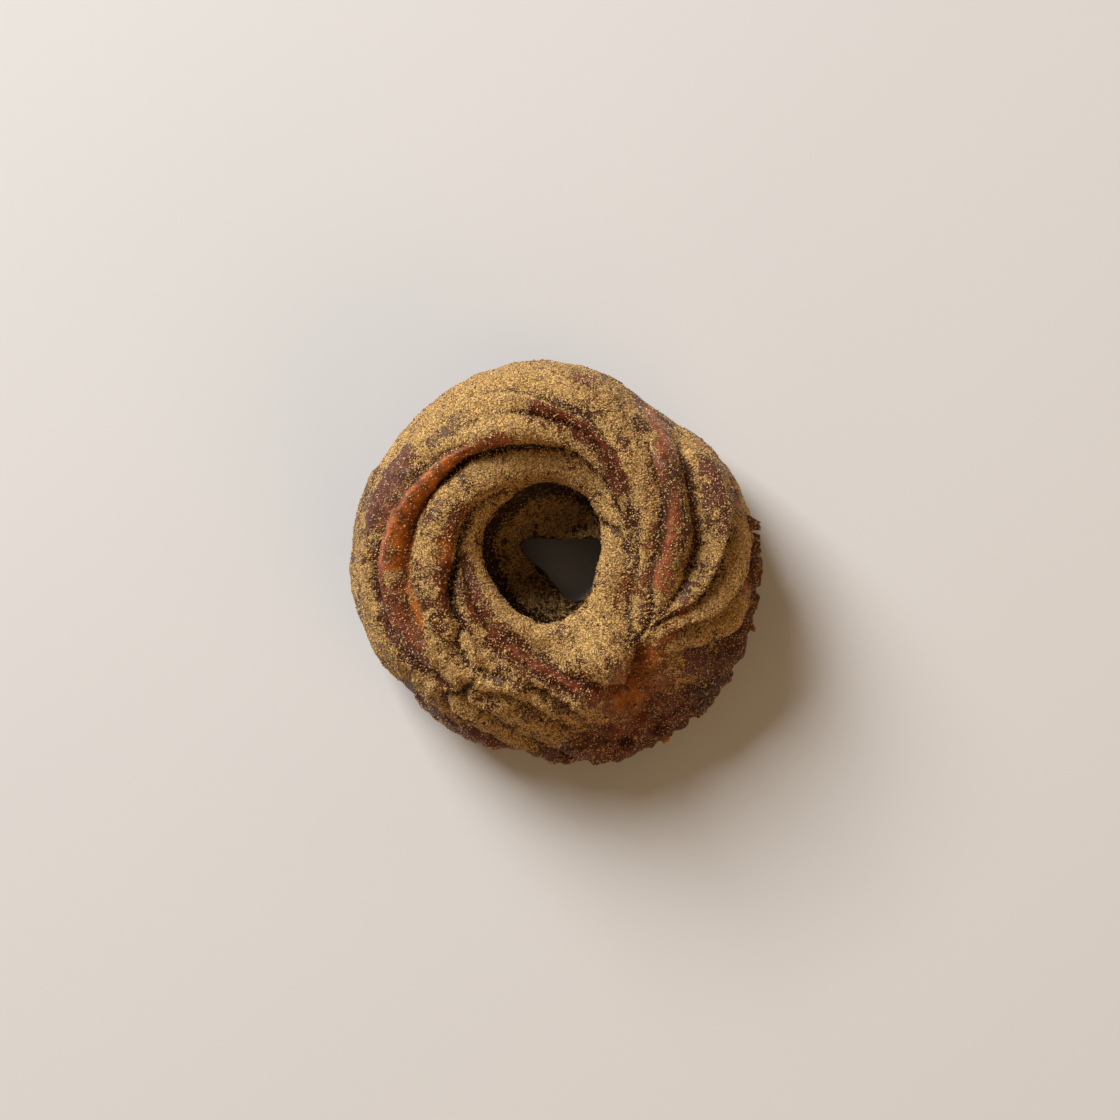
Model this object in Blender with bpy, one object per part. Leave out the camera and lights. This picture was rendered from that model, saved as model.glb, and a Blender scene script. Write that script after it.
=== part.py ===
"""A cruller: one ring of piped choux dough, fried, lying flat.

The ring is a torus whose outline changes as it goes round, and the swirl is a set of fold lines
pressed into it. Angles are degrees anticlockwise from +X, seen from above. Sizes are millimetres
until the mesh is made, and metres in the mesh. The origin is under the middle of the ring.
"""

import math

import bmesh
import bpy
import numpy as np
from mathutils import Vector, noise

MM = 0.001
NAME = "cruller"

# The ring as a whole
HEIGHT = 34.5
HOLE_CENTRE = (-2.1, 2.1)
RIM_HEIGHT = 11.0
LIP_HEIGHT = 25.0
# Sizes on top were read from above, where what is higher looks a little larger than it is
CROWN_SCALE = 0.97

# Distance from the hole's centre to the widest part of the dough, by angle
RIM_RADIUS = {
    0: 44.2, 10: 43.3, 20: 42.8, 32: 41.3, 45: 38.6, 56: 37.4, 70: 38.9, 85: 39.9, 100: 40.1,
    120: 39.3, 140: 38.9, 160: 39.8, 180: 40.5, 200: 41.0, 217: 40.7, 224: 40.1, 232: 41.0,
    245: 41.7, 265: 42.2, 275: 43.6, 285: 45.0, 300: 45.6, 320: 46.4, 331: 45.4, 340: 45.2,
}
# The shoulder, higher up, stands in from that
SHOULDER_INSET = {0: 3.0, 60: 2.4, 150: 2.8, 230: 3.6, 270: 6.0, 305: 9.5, 325: 6.5, 343: 3.4}
SHOULDER_HEIGHT = {0: 24.0, 90: 25.0, 200: 24.5, 270: 21.5, 305: 18.5, 340: 22.0}
CROWN_RISE = {0: 0.2, 60: 0.8, 150: 0.0, 240: -1.6, 300: -2.8, 335: -1.4}
# Distance from the hole's centre to the upper lip of the hole
LIP_RADIUS = {
    0: 12.0, 30: 12.8, 60: 14.5, 90: 14.9, 120: 13.7, 150: 13.4, 180: 13.3, 215: 12.7,
    245: 13.9, 275: 15.0, 300: 13.9, 325: 12.3, 340: 11.4,
}

# The lower dough reaches further into the hole and leaves a small three-cornered opening
LOW_CENTRE = (3.7, -1.7)
LOW_RADIUS = {
    0: 8.0, 28: 8.6, 55: 5.5, 90: 4.5, 128: 5.8, 156: 8.8, 186: 5.8, 225: 4.5, 258: 5.5,
    286: 8.6, 310: 8.2, 335: 8.0,
}
SHELF_HEIGHT = {20: 13.0, 90: 13.6, 150: 12.8, 200: 10.6, 240: 8.8, 300: 9.0, 345: 11.5}
SHELF_SLOPE = {30: 0.8, 90: 0.5, 150: 1.0, 190: 3.0, 230: 4.0, 270: 3.4, 330: 1.6}

# Stations round the section, from the outer foot over the crown to the inner foot
STATIONS = 17
RIM, LIP, UNDERCUT = 2, 9, 10
# How far each station follows the low opening's centre instead of the hole's
LOW_SHARE = np.array([0, 0, 0, 0, 0, 0, 0, 0, 0, 0, 0.15, 0.6, 1.0, 1.0, 1.0, 0.8, 0.0])

# The dough beside a fold can rise as a full round lobe, a softer one or a flat slope
FULL, SOFT, FLAT = 0.68, 0.9, 1.2
# Fold lines: (reach and lobe towards the hole, the same outwards, end that runs on down the side,
# points). A point is (angle, distance from the hole's centre, depth of the fold).
FOLDS = {
    "long fold inside the outer ridge": ((8.0, FLAT), (4.6, FULL), "", [
        (224, 30.2, 0.3), (206, 31.8, 2.4), (190, 31.0, 4.0), (170, 29.5, 4.5), (150, 27.0, 4.4),
        (130, 24.5, 4.0), (110, 21.8, 3.6), (90, 20.5, 3.2), (70, 19.4, 2.8), (50, 17.5, 2.4),
        (30, 16.5, 2.2), (10, 16.7, 2.2), (-12, 16.4, 2.0), (-30, 16.8, 1.8), (-42, 19.0, 0.8)]),
    "fold outside the outer ridge": ((4.5, FULL), (5.0, FULL), "", [
        (243, 33.4, 0.2), (225, 35.8, 2.0), (205, 37.2, 2.6), (190, 37.0, 2.4), (180, 36.2, 2.0),
        (165, 33.8, 1.6), (150, 32.0, 2.0), (138, 30.4, 1.8), (128, 28.2, 1.2), (118, 26.6, 0.1)]),
    "faint fold at the back left": ((5.0, FULL), (7.0, FULL), "", [
        (162, 33.2, 0.2), (145, 32.2, 1.0), (130, 31.8, 1.1), (115, 31.3, 1.2), (100, 30.4, 1.4)]),
    "deep fold at the back": ((5.0, SOFT), (5.4, FULL), "", [
        (112, 31.2, 0.1), (101, 30.4, 2.4), (92, 29.2, 3.6), (83, 27.4, 3.9), (75, 25.8, 3.8),
        (65, 23.6, 3.4), (55, 21.5, 2.8), (45, 20.0, 2.5), (30, 19.1, 2.3), (10, 18.3, 2.3),
        (-10, 18.2, 2.3), (-28, 19.0, 2.4), (-38, 21.2, 2.6), (-46, 24.6, 2.6)]),
    "thin fold along the back": ((3.6, FULL), (5.0, FULL), "first", [
        (137, 38.6, 1.2), (125, 37.6, 1.5), (110, 36.6, 1.5), (100, 35.0, 1.6), (90, 33.1, 1.8),
        (80, 31.0, 2.1), (70, 29.3, 2.2), (62, 26.8, 1.8), (54, 24.0, 1.0), (46, 21.5, 0.1)]),
    "step up to the narrow ridge": ((6.0, FULL), (2.2, FULL), "", [
        (62, 34.4, 0.1), (47, 31.6, 1.0), (40, 29.8, 1.3), (30, 27.9, 1.5), (20, 26.0, 1.6),
        (10, 24.1, 1.6), (0, 22.9, 1.7), (-12, 22.2, 2.0), (-22, 23.2, 2.6), (-31, 25.2, 2.8),
        (-40, 26.0, 2.4), (-47, 25.0, 2.0)]),
    "wide fold outside the narrow ridge": ((8.0, FLAT), (6.0, FLAT), "first", [
        (45, 39.8, 0.8), (39, 38.0, 3.0), (30, 36.6, 3.8), (20, 35.3, 4.2), (10, 34.4, 4.4),
        (0, 33.0, 4.2), (-8, 31.6, 3.8), (-15, 30.4, 3.3), (-21, 29.0, 2.6), (-28, 27.4, 1.4)]),
    "first fold of the right side": ((3.6, FULL), (6.6, SOFT), "first", [
        (20, 42.9, 1.6), (12, 41.8, 2.8), (5, 40.6, 3.4), (0, 39.4, 3.4), (-5, 38.3, 3.2),
        (-10, 37.2, 3.0), (-15, 36.0, 2.9), (-20, 34.4, 2.7), (-25, 31.9, 2.4), (-30, 29.3, 2.0),
        (-36, 27.2, 1.4)]),
    "second fold of the right side": ((3.2, FULL), (5.6, FLAT), "first", [
        (-2, 44.4, 2.4), (-10, 43.5, 3.6), (-15, 42.2, 4.2), (-20, 40.5, 4.2), (-25, 37.8, 3.8),
        (-29, 35.0, 2.8), (-34, 32.0, 1.2)]),
    "third fold of the right side": ((3.4, FULL), (4.8, SOFT), "first", [
        (-18, 45.5, 2.2), (-25, 43.9, 3.0), (-30, 41.5, 3.0), (-36, 37.7, 2.1), (-44, 33.5, 0.3)]),
    "fold under the inner ridge": ((3.5, FULL), (3.6, FULL), "", [
        (224, 22.3, 2.4), (210, 21.4, 3.1), (200, 19.9, 3.2), (190, 17.9, 3.1), (180, 16.8, 2.8),
        (165, 16.6, 2.2), (150, 16.4, 1.8), (135, 15.6, 1.2), (118, 15.2, 0.2)]),
    "fold outside the hole's rim, round the loose end": ((5.6, SOFT), (5.0, FULL), "", [
        (170, 15.0, 0.6), (185, 15.8, 1.8), (200, 16.4, 2.2), (220, 17.2, 2.4), (235, 18.0, 2.4),
        (250, 18.8, 2.4), (262, 19.8, 2.6), (272, 21.6, 2.8), (280, 25.0, 3.0), (288, 29.4, 3.4),
        (294, 33.2, 4.0), (300.5, 35.4, 4.3), (307, 34.4, 4.4), (311.5, 31.4, 4.3),
        (314.5, 28.2, 3.8), (317.5, 24.6, 2.6), (320, 21.4, 0.8)]),
    "first fold at the front": ((3.5, SOFT), (4.0, SOFT), "", [
        (222, 22.4, 1.6), (232, 22.3, 1.8), (245, 22.3, 2.0), (258, 23.5, 2.2), (268, 25.6, 2.2),
        (278, 29.4, 2.0), (287, 34.0, 1.0)]),
    "second fold at the front": ((4.0, SOFT), (4.0, SOFT), "last", [
        (222, 23.0, 1.8), (227, 26.4, 2.0), (234, 28.6, 2.2), (246, 28.0, 2.0), (257, 27.3, 1.8),
        (264, 28.6, 2.0), (270, 30.5, 2.2), (275, 32.9, 2.2), (280, 35.4, 1.8), (287, 39.4, 1.0)]),
    "third fold at the front": ((4.0, SOFT), (4.0, SOFT), "last", [
        (238, 33.3, 0.3), (246, 32.8, 1.6), (256, 31.6, 2.0), (262, 32.9, 2.2), (268, 35.0, 2.2),
        (274, 37.2, 2.0), (281, 40.4, 1.4)]),
    "fourth fold at the front": ((3.5, SOFT), (3.5, SOFT), "last", [
        (239, 33.4, 0.4), (241, 36.2, 2.6), (247, 36.8, 2.4), (254, 37.8, 2.2), (262, 39.8, 1.8)]),
    "notch at the front left": ((3.0, FULL), (3.0, FULL), "last", [
        (242, 29.0, 0.2), (240.5, 32.6, 1.6), (239.5, 35.6, 2.4), (237.5, 39.0, 1.8)]),
    "short fold right of the hole": ((2.4, FULL), (3.6, FULL), "", [
        (32, 12.8, 0.4), (20, 14.0, 2.0), (12, 14.9, 2.2), (5, 15.6, 2.0), (-3, 16.2, 1.4)]),
}
# Shallow folds round the side, where the top's folds don't reach: the angle at the shoulder
SIDE_FOLDS = [96, 128, 158, 186, 214]
SIDE_FOLD_DEPTH = 0.5
SIDE_FOLD_REACH = 4.5
# A fold that runs on down the side turns this much for each station, and ends above the foot
SIDE_TWIST = 15.0
SIDE_END = 0.4
# How a fold is read and rounded: points a knot, the blend between its two sides in stations,
# the radius at its bottom, and how sharply two folds meet
LINE_STEPS = 16
SIDE_BLEND = 0.3
VALLEY_RADIUS = 0.35
NORM = 4
FOLD_SCALE = 1.2

# Swellings and hollows: (angle, distance from the hole's centre, size, height)
SWELLINGS = [
    (-60, 26.0, 4.4, 3.2), (-47, 33.0, 5.0, -3.0), (-62, 38.5, 4.6, -1.2), (-104, 29.6, 3.6, 1.2),
    (-141, 26.0, 4.4, 0.9), (100, 26.0, 4.0, 0.6), (72, 34.5, 5.0, 0.8), (197, 26.0, 4.0, 0.8),
    (-30, 19.5, 2.4, -1.4), (12, 35.0, 3.5, 0.8), (-72, 33.0, 3.0, 0.8), (-38, 44.0, 3.0, 1.0),
]

# Crags of the torn crust low on the right
CRAG_FROM, CRAG_TO = -88.0, 8.0
CRAG_DEPTH = 1.1
CRAG_SIZE = 3.4

# The dough is nowhere quite even
UNEVEN_DEPTH = 0.4
UNEVEN_SIZE = 9.0

ROUND_STEPS = 96
SECTION_STEPS = 60
# The share of the section's steps from the outer foot over the crown to the undercut
TOP_SHARE = 0.68

CRUST_COLOUR = (0.30, 0.13, 0.045, 1.0)
CRUST_ROUGHNESS = 0.55


def hermite(x, xs, ys):
    """A smooth curve through the points (xs, ys), read at x. A row of ys may hold several values."""
    slopes = np.gradient(ys, xs, axis=0)
    i = np.clip(np.searchsorted(xs, x, side="right") - 1, 0, len(xs) - 2)
    step = xs[i + 1] - xs[i]
    t = (x - xs[i]) / step
    if ys.ndim > 1:
        t, step = t[..., None], step[..., None]
    return (
        (2 * t**3 - 3 * t**2 + 1) * ys[i]
        + (t**3 - 2 * t**2 + t) * step * slopes[i]
        + (3 * t**2 - 2 * t**3) * ys[i + 1]
        + (t**3 - t**2) * step * slopes[i + 1]
    )


def around(angle, stations):
    """A value that passes smoothly through {angle: value} and closes on itself after a full turn."""
    keys = sorted(stations)
    xs = np.array([keys[-2] - 360, keys[-1] - 360, *keys, keys[0] + 360, keys[1] + 360], float)
    ys = np.array([stations[int(k) % 360] for k in xs], float)
    return hermite(np.mod(angle, 360), xs, ys)


def smooth_step(x):
    x = np.clip(x, 0, 1)
    return x * x * (3 - 2 * x)


def outline(angle):
    """The smooth dough's section at each angle: its stations as (distance, height)."""
    rim = around(angle, RIM_RADIUS)
    shoulder = rim - around(angle, SHOULDER_INSET)
    shoulder_height = around(angle, SHOULDER_HEIGHT)
    lip = around(angle, LIP_RADIUS) * CROWN_SCALE
    low = around(angle, LOW_RADIUS)
    top = HEIGHT + around(angle, CROWN_RISE)
    shelf = around(angle, SHELF_HEIGHT)
    slope = around(angle, SHELF_SLOPE)
    crown = lip + 0.54 * (shoulder - lip)
    level = np.zeros_like(rim)
    stations = [
        (rim - 7.0, level),
        (rim - 1.4, level + 4.5),
        (rim, level + RIM_HEIGHT),
        (rim * 0.42 + shoulder * 0.58, 0.45 * RIM_HEIGHT + 0.55 * shoulder_height),
        (shoulder - 0.6, shoulder_height + 1.2),
        (crown + 0.55 * (shoulder - crown), 0.3 * shoulder_height + 0.7 * top),
        (crown, top),
        (crown - 0.5 * (crown - lip), top - 2.0),
        (lip + 1.5, level + LIP_HEIGHT + 3.4),
        (lip, level + LIP_HEIGHT - 1.4),
        (lip + 2.0, 0.4 * LIP_HEIGHT + 0.6 * shelf),
        (low + 0.55 * (lip - low), shelf),
        (low + 0.4, shelf - slope),
        (low + 0.2, shelf - slope - 3.0),
        (low + 2.0, level + 2.4),
        (low + 5.0, level),
        (0.5 * (rim + low), level),
    ]
    return np.stack([np.stack(s, -1) for s in stations], 1)


def dough_point(angle, place):
    """The point on the smooth dough at an angle and a place round the section, counted in stations."""
    section = outline(angle)
    share = np.broadcast_to(LOW_SHARE, section.shape[:2])[..., None]
    values = np.concatenate([section, share], -1)
    i = np.floor(place).astype(int)
    t = (place - i)[:, None]
    row = np.arange(len(i))
    a, b, c, d = (values[row, (i + k) % STATIONS] for k in (-1, 0, 1, 2))
    curve = 2 * a - 5 * b + 4 * c - d + t * (3 * (b - c) + d - a)
    distance, height, low = (b + 0.5 * t * (c - a + t * curve)).T
    turn = np.radians(angle)
    x = HOLE_CENTRE[0] + low * LOW_CENTRE[0] + distance * np.cos(turn)
    y = HOLE_CENTRE[1] + low * LOW_CENTRE[1] + distance * np.sin(turn)
    return np.stack([x, y, np.maximum(height, 0)], -1)


def place_over(angles, distances):
    """The places on top of the dough, between rim and lip, that lie at distances from the hole's centre."""
    places = np.linspace(RIM, LIP, 85)
    found = []
    for angle, distance in zip(angles, distances):
        points = dough_point(np.full(len(places), angle), places)
        reach = np.hypot(points[:, 0] - HOLE_CENTRE[0], points[:, 1] - HOLE_CENTRE[1])
        found.append(np.interp(-distance, -reach, places))
    return np.array(found)


def fold_line(points, down_from):
    """A fold as close-set points on the smooth dough: their places, positions and depths."""
    angles, distances, depths = np.array(points, float).T
    knots = np.stack([angles, place_over(angles, distances * CROWN_SCALE), depths], -1)
    if down_from:
        end = knots[0 if down_from == "first" else -1]
        drop = end[1] - SIDE_END
        foot = [(end[0] + SIDE_TWIST * drop, SIDE_END, end[2])]
        knots = np.concatenate([foot, knots] if down_from == "first" else [knots, foot])
    count = np.arange(len(knots), dtype=float)
    fine = np.linspace(0, count[-1], LINE_STEPS * (len(knots) - 1) + 1)
    angle, place, depth = hermite(fine, count, knots).T
    return place, dough_point(angle, place), np.maximum(depth, 0)


def nearest_on(line, points):
    """Distance from each point to the line, and where on the line that is, counted in its points."""
    parts = np.array_split(points, max(1, len(points) // 4000))
    near = np.concatenate([((part[:, None] - line) ** 2).sum(-1).argmin(1) for part in parts])
    best_gap = np.full(len(points), np.inf)
    best_at = near.astype(float)
    for start in (np.maximum(near - 1, 0), np.minimum(near, len(line) - 2)):
        along = line[start + 1] - line[start]
        t = ((points - line[start]) * along).sum(1) / (along**2).sum(1)
        t = np.clip(t, 0, 1)
        gap = np.linalg.norm(points - line[start] - t[:, None] * along, axis=1)
        closer = gap < best_gap
        best_gap = np.where(closer, gap, best_gap)
        best_at = np.where(closer, start + t, best_at)
    return best_gap, best_at


def side_fold(angle):
    """A shallow fold that starts on the shoulder and runs down the side with the twist."""
    rim = around(np.array([float(angle)]), RIM_RADIUS)[0]
    knots = [(angle, rim - 0.4), (angle - 12, rim - 1.6), (angle - 24, rim - 3.2)]
    depths = (SIDE_FOLD_DEPTH, 0.6 * SIDE_FOLD_DEPTH, 0.0)
    side = (SIDE_FOLD_REACH, FULL)
    return side, side, "first", [(*k, d) for k, d in zip(knots, depths)]


def fold_drop(points, places):
    """How far the folds press each point of the dough inwards: round lobes between creases."""
    total = np.zeros(len(points))
    folds = list(FOLDS.values()) + [side_fold(angle) for angle in SIDE_FOLDS]
    for inner, outer, down_from, knots in folds:
        line_place, line, depth = fold_line(knots, down_from)
        gap, at = nearest_on(line, points)
        gap = np.sqrt(gap**2 + VALLEY_RADIUS**2) - VALLEY_RADIUS
        count = np.arange(len(line))
        inward = smooth_step((places - np.interp(at, count, line_place)) / SIDE_BLEND + 0.5)
        reach = outer[0] + (inner[0] - outer[0]) * inward
        fullness = outer[1] + (inner[1] - outer[1]) * inward
        lobe = (1 - (1 - np.clip(gap / reach, 0, 1)) ** 2) ** fullness
        total += (np.interp(at, count, depth) * (1 - lobe)) ** NORM
    return FOLD_SCALE * total ** (1 / NORM)


def swell(points):
    """Height that the swellings and hollows add to each point."""
    added = np.zeros(len(points))
    for angle, distance, size, height in SWELLINGS:
        spot_angle = np.array([float(angle)])
        spot = dough_point(spot_angle, place_over(spot_angle, [distance * CROWN_SCALE]))[0]
        added += height * np.exp(-((points - spot) ** 2).sum(1) / (2 * size**2))
    return added


def crags(points, angle):
    """Rough lumps of torn crust, only low on the right."""
    middle, half = (CRAG_FROM + CRAG_TO) / 2, (CRAG_TO - CRAG_FROM) / 2
    turn = np.abs(np.mod(angle - middle + 180, 360) - 180)
    mask = smooth_step((half - turn) / 14 + 0.5)
    far = np.hypot(points[:, 0] - HOLE_CENTRE[0], points[:, 1] - HOLE_CENTRE[1])
    mask *= smooth_step((far - 34) / 7) * smooth_step((24 - points[:, 2]) / 10)
    mask *= smooth_step((points[:, 2] - 0.6) / 3)
    lumps = np.array([noise.fractal(Vector(p) / CRAG_SIZE, 1.0, 2.0, 3) for p in points])
    return CRAG_DEPTH * mask * (0.3 + lumps)


def section_place(points, major):
    """Angle and place of each point of the plain torus.

    The torus is twisted once as it goes round, so that its rows run with the folds, and more of
    the rows lie on top than below.
    """
    angle = np.degrees(np.arctan2(points[:, 1], points[:, 0]))
    out = np.hypot(points[:, 0], points[:, 1]) - major
    turn = np.arctan2(points[:, 2], out) / (2 * math.pi) - angle / 360
    place = np.interp(np.mod(turn, 1), [0, TOP_SHARE, 1], [1, UNDERCUT, STATIONS + 1])
    return angle, np.mod(place, STATIONS)


def unevenness(points):
    """Soft swellings all over, as in any piped dough."""
    soft = np.array([noise.noise(Vector(p) / UNEVEN_SIZE) for p in points])
    return UNEVEN_DEPTH * soft


def plain_ring(steps, section_steps):
    """The torus that the dough is shaped from."""
    major, minor = 27.0, 13.0
    bpy.ops.mesh.primitive_torus_add(
        major_radius=major, minor_radius=minor, major_segments=steps, minor_segments=section_steps
    )
    ring = bpy.context.object
    ring.name = ring.data.name = NAME
    return ring, major


def split_short(mesh):
    """Splits each face along its shorter diagonal, so that folds don't come out as saw teeth."""
    form = bmesh.new()
    form.from_mesh(mesh)
    bmesh.ops.triangulate(form, faces=form.faces, quad_method="SHORT_EDGE")
    form.to_mesh(mesh)
    form.free()


def coordinates(mesh):
    flat = np.empty(len(mesh.vertices) * 3)
    mesh.vertices.foreach_get("co", flat)
    return flat.reshape(-1, 3)


def set_coordinates(mesh, points):
    mesh.vertices.foreach_set("co", points.ravel())
    mesh.update()


def normals(mesh):
    flat = np.empty(len(mesh.vertices) * 3)
    mesh.vertices.foreach_get("normal", flat)
    return flat.reshape(-1, 3)


def shape_dough(mesh, major):
    """Turns the plain torus into the cruller: smooth dough first, then folds, swellings and crags."""
    angle, place = section_place(coordinates(mesh), major)
    base = dough_point(angle, place)
    set_coordinates(mesh, base)
    out = normals(mesh)
    grip = smooth_step(base[:, 2] / 3.0)
    rise = swell(base) + crags(base, angle) + unevenness(base) - fold_drop(base, place)
    points = base + out * (rise * grip)[:, None]
    points[:, 2] = np.where(base[:, 2] <= 0, 0, np.maximum(points[:, 2], 0))
    set_coordinates(mesh, points)


def crust():
    """Fried crust, as a plain finish."""
    material = bpy.data.materials.new("crust")
    material.use_nodes = True
    shader = material.node_tree.nodes["Principled BSDF"]
    shader.inputs["Base Color"].default_value = CRUST_COLOUR
    shader.inputs["Roughness"].default_value = CRUST_ROUGHNESS
    shader.inputs["Metallic"].default_value = 0.0
    return material


def clear_scene():
    for obj in list(bpy.data.objects):
        bpy.data.objects.remove(obj)


def make_cruller(steps=ROUND_STEPS, section_steps=SECTION_STEPS):
    ring, major = plain_ring(steps, section_steps)
    mesh = ring.data
    shape_dough(mesh, major)
    points = coordinates(mesh)
    middle = (points.min(0) + points.max(0)) / 2
    middle[2] = points[:, 2].min()
    set_coordinates(mesh, (points - middle) * MM)
    split_short(mesh)
    mesh.materials.append(crust())
    mesh.shade_smooth()
    return ring


def main():
    clear_scene()
    cruller = make_cruller()
    pastry = bpy.data.collections.new("cruller doughnut")
    bpy.context.scene.collection.children.link(pastry)
    for collection in list(cruller.users_collection):
        collection.objects.unlink(cruller)
    pastry.objects.link(cruller)
    return cruller


if __name__ == "__main__":
    main()
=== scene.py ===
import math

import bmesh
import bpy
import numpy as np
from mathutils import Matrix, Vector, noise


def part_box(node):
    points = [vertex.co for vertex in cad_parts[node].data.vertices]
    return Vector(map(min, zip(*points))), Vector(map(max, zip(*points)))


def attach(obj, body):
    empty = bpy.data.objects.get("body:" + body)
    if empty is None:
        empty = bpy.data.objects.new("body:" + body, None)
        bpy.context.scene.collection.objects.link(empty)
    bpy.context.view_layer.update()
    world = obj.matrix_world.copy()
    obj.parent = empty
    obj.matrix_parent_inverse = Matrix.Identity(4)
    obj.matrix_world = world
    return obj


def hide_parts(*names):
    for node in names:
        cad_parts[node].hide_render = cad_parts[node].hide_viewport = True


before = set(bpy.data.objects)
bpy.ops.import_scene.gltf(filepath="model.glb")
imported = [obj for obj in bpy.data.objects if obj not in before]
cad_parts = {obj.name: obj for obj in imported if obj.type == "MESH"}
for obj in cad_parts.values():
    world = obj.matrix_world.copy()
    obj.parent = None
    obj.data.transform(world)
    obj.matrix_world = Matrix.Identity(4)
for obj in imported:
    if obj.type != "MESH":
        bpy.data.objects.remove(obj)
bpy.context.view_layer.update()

# %% [markdown]
# # A cruller, dusted with cinnamon sugar
#
# A cruller is one ring of soft choux dough, piped through a star-shaped nozzle and fried. The nozzle
# leaves ridges, the piper's wrist twists them round the ring, and the two ends overlap where the
# piping stops. A thin glaze makes the crust shine, and fine powder settles on whatever faces up.
#
# This file starts from a plain solid of the same cruller, loaded from model.glb. It makes a
# finer skin over the same form, gives it a crust, and then scatters real grains and crumbs on it.

MM = 0.001
NODE = "cruller"
solid_low, solid_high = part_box(NODE)
scene = bpy.context.scene
print("the solid is", [round((b - a) / MM, 1) for a, b in zip(solid_low, solid_high)], "mm")

# %% [markdown]
# ## Camera, floor and light
#
# The photograph looks straight down from a little over half a metre. A long lens from that height
# shows the same frame, and flattens the doughnut as little as the photograph does. The light is one
# large soft window to the upper left, about a third of the way up the sky. What comes back off the
# room is warm and low: it fills the shadow beside the ring but hardly gets into the hole, which
# stays dark. So one big lamp is the window, weak warm ones lower down are the room, and the sky is
# dim.

# %% Camera
FRAME_WIDTH = 0.233
LENS, SENSOR = 100.0, 36.0
RIM_LEVEL = 0.011
LOOK_AT = (0.00085, 0.0005)

camera = bpy.data.objects.new("camera", bpy.data.cameras.new("camera"))
camera.data.lens = LENS
camera.data.sensor_width = SENSOR
camera.location = (*LOOK_AT, RIM_LEVEL + FRAME_WIDTH * LENS / SENSOR)
scene.collection.objects.link(camera)
scene.camera = camera
scene.view_settings.view_transform = "Standard"
print("camera", round(camera.location.z, 3), "m above the floor")

# %% Floor
FLOOR_SIZE = 4.0
FLOOR_COLOUR = (0.665, 0.660, 0.655, 1.0)
FLOOR_ROUGHNESS = 0.55


def new_material(name):
    """A material, its node tree and its shader."""
    material = bpy.data.materials.new(name)
    material.use_nodes = True
    return material, material.node_tree, material.node_tree.nodes["Principled BSDF"]


def plain_material(name, colour, roughness):
    """A material with one colour all over, for what needs no pattern."""
    material, _, shader = new_material(name)
    shader.inputs["Base Color"].default_value = colour
    shader.inputs["Roughness"].default_value = roughness
    return material


def object_of(mesh, name, material):
    """Puts a mesh in the scene as an object at the origin."""
    mesh.materials.append(material)
    made = bpy.data.objects.new(name, mesh)
    scene.collection.objects.link(made)
    return made


def object_from(form, name, material):
    """Makes a bmesh into an object, and frees the bmesh."""
    mesh = bpy.data.meshes.new(name)
    form.to_mesh(mesh)
    form.free()
    return object_of(mesh, name, material)


floor_form = bmesh.new()
bmesh.ops.create_grid(floor_form, x_segments=1, y_segments=1, size=FLOOR_SIZE / 2)
floor_material = plain_material("pale floor", FLOOR_COLOUR, FLOOR_ROUGHNESS)
floor = object_from(floor_form, "floor", floor_material)

# %% Light
NEUTRAL, WARM = (1.0, 1.0, 1.0), (1.0, 0.62, 0.30)
# (name, turn, height, distance, size, power, colour)
LAMPS = [
    ("window", 129.5, 34.0, 2.0, 1.0, 62.5, NEUTRAL),
    ("low bounce", -45.0, 24.0, 1.2, 1.2, 6.0, WARM),
    ("left bounce", -135.0, 20.0, 1.2, 0.7, 0.8, WARM),
    ("right bounce", 45.0, 20.0, 1.2, 0.7, 0.8, WARM),
]
ROOM_COLOUR, ROOM_STRENGTH = (1.0, 0.78, 0.54, 1.0), 0.12


def area_lamp(name, turn, height, distance, size, power, colour):
    """A square lamp seen at a turn from +X and a height, in degrees, and aimed at the origin."""
    turn, height = math.radians(turn), math.radians(height)
    level = math.cos(height)
    towards = Vector((level * math.cos(turn), level * math.sin(turn), math.sin(height)))
    lamp = bpy.data.objects.new(name, bpy.data.lights.new(name, "AREA"))
    lamp.data.size = size
    lamp.data.energy = power
    lamp.data.color = colour
    lamp.location = towards * distance
    lamp.rotation_euler = (-towards).to_track_quat("-Z", "Y").to_euler()
    scene.collection.objects.link(lamp)


for settings in LAMPS:
    area_lamp(*settings)
room = bpy.data.worlds.new("room")
room.use_nodes = True
room.node_tree.nodes["Background"].inputs["Color"].default_value = ROOM_COLOUR
room.node_tree.nodes["Background"].inputs["Strength"].default_value = ROOM_STRENGTH
scene.world = room

# %% [markdown]
# ## The ring's outline
#
# Cut the ring anywhere and the cut face looks like a thick comma: a round side, a crown, the upper
# lip of the hole, and lower down a ledge where the first turn of dough reaches further in. The ring
# isn't even, so each size is given at some angles round it, and a smooth curve joins them. Angles are
# in degrees, anticlockwise from +X seen from above, and sizes are in millimetres until the end.

# %% Sizes round the ring
HEIGHT = 34.5
HOLE_CENTRE = (-2.1, 2.1)
RIM_HEIGHT, LIP_HEIGHT = 11.0, 25.0
CROWN_SCALE = 0.97

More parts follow.
